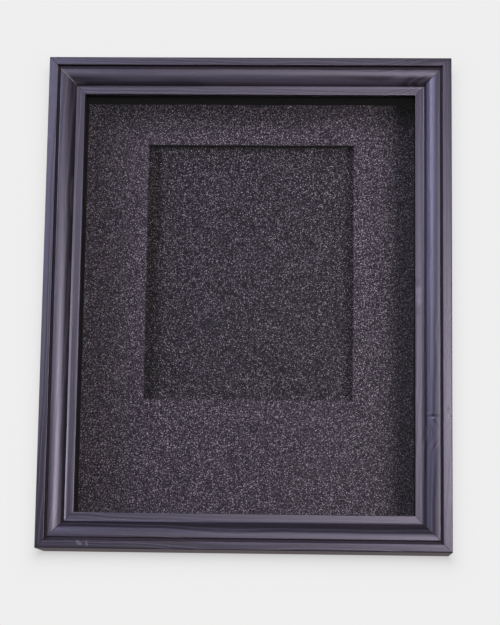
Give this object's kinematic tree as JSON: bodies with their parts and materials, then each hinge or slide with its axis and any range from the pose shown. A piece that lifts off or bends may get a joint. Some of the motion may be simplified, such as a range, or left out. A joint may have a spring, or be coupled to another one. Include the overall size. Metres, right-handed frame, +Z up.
{
  "type": "medal display frame",
  "caption": "Deep mitred box frame with a glazed well, a glitter board with an upright aperture over a recessed panel, and a removable back held by turn buttons.",
  "frame": {"origin": "middle of the bottom rail's underside, half way between the outer band's face and the rails' rear faces", "axes": "+Z up the frame, +X to the right seen from the front, +Y to the rear, so the front faces -Y"},
  "size_m": [0.2322, 0.0443, 0.283],
  "materials": {
    "stained_wood": "satin",
    "clear_sheet": "gloss",
    "black_fillet": "matte",
    "glitter_board": "satin",
    "foam_board": "matte",
    "fibreboard": "matte",
    "zinc_steel": "satin",
    "black_rubber": "matte"
  },
  "bodies": {
    "frame": {"top_rail": "stained_wood", "bottom_rail": "stained_wood", "left_rail": "stained_wood", "right_rail": "stained_wood", "corner_v_nails": "zinc_steel", "glazing": "clear_sheet", "top_spacer": "black_fillet", "bottom_spacer": "black_fillet", "left_spacer": "black_fillet", "right_spacer": "black_fillet", "button_screws": "zinc_steel", "hanger_strap_left": "zinc_steel", "hanger_strap_right": "zinc_steel", "hanger_screws": "zinc_steel", "wall_bumpers": "black_rubber"},
    "back": {"aperture_board": "glitter_board", "riser_top": "foam_board", "riser_bottom": "foam_board", "riser_left": "foam_board", "riser_right": "foam_board", "recess_panel": "glitter_board", "backing_board": "fibreboard"},
    "button_left_upper": {"turn_button_left_upper": "zinc_steel"},
    "button_left_lower": {"turn_button_left_lower": "zinc_steel"},
    "button_right_upper": {"turn_button_right_upper": "zinc_steel"},
    "button_right_lower": {"turn_button_right_lower": "zinc_steel"},
    "button_top": {"turn_button_top": "zinc_steel"},
    "button_bottom": {"turn_button_bottom": "zinc_steel"},
    "ring_left": {"hanger_ring_left": "zinc_steel"},
    "ring_right": {"hanger_ring_right": "zinc_steel"}
  },
  "joints": [
    {"name": "back_out", "type": "slide", "parent": "frame", "child": "back", "axis": [0, 1, 0], "range_m": [0, 0.06]},
    {"name": "left_upper_turn", "type": "hinge", "parent": "frame", "child": "button_left_upper", "pos_m": [-0.1078, 0.02095, 0.176], "axis": [0, -1, 0], "range_deg": [0, 90]},
    {"name": "left_lower_turn", "type": "hinge", "parent": "frame", "child": "button_left_lower", "pos_m": [-0.1078, 0.02095, 0.062], "axis": [0, -1, 0], "range_deg": [0, 90]},
    {"name": "right_upper_turn", "type": "hinge", "parent": "frame", "child": "button_right_upper", "pos_m": [0.1078, 0.02095, 0.176], "axis": [0, 1, 0], "range_deg": [0, 90]},
    {"name": "right_lower_turn", "type": "hinge", "parent": "frame", "child": "button_right_lower", "pos_m": [0.1078, 0.02095, 0.062], "axis": [0, 1, 0], "range_deg": [0, 90]},
    {"name": "top_turn", "type": "hinge", "parent": "frame", "child": "button_top", "pos_m": [0, 0.02095, 0.2747], "axis": [0, 1, 0], "range_deg": [0, 90]},
    {"name": "bottom_turn", "type": "hinge", "parent": "frame", "child": "button_bottom", "pos_m": [0, 0.02095, 0.0083], "axis": [0, 1, 0], "range_deg": [0, 90]},
    {"name": "left_ring_swing", "type": "hinge", "parent": "frame", "child": "ring_left", "pos_m": [-0.109, 0.02223, 0.238], "axis": [1, 0, 0], "range_deg": [0, 180]},
    {"name": "right_ring_swing", "type": "hinge", "parent": "frame", "child": "ring_right", "pos_m": [0.109, 0.02223, 0.238], "axis": [1, 0, 0], "range_deg": [0, 180]}
  ]
}
